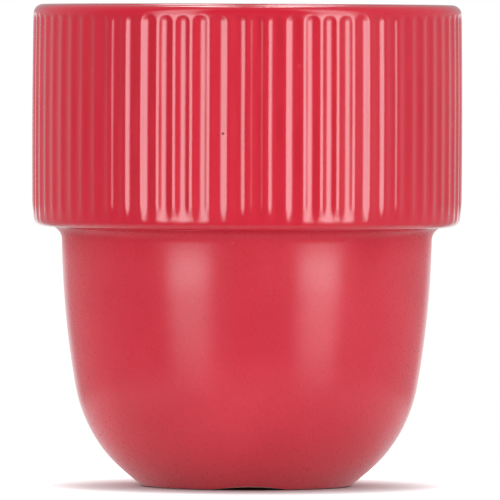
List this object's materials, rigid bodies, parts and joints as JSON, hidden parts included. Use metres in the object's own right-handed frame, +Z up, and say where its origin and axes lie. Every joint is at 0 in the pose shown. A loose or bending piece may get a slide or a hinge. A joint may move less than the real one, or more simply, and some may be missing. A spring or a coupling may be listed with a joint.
{
  "type": "stoneware mug",
  "caption": "Handleless stacking stoneware mug: fluted glossy collar over a narrower satin bowl with a round heel, bare foot ring and drain notches.",
  "frame": {"origin": "on the table, at the middle of the foot ring", "axes": "+Z up along the mug's axis, through the middle of the mouth; the front, with a collar ridge and a drain notch, faces -Y"},
  "size_m": [0.0804, 0.0804, 0.09],
  "materials": {
    "bare_clay": "matte",
    "gloss_glaze": "gloss",
    "satin_glaze": "satin"
  },
  "bodies": {
    "root": {"stoneware_body": "bare_clay", "collar_glaze": "gloss_glaze", "bowl_glaze": "satin_glaze", "liner_glaze": "gloss_glaze", "base_glaze": "gloss_glaze"}
  },
  "joints": []
}
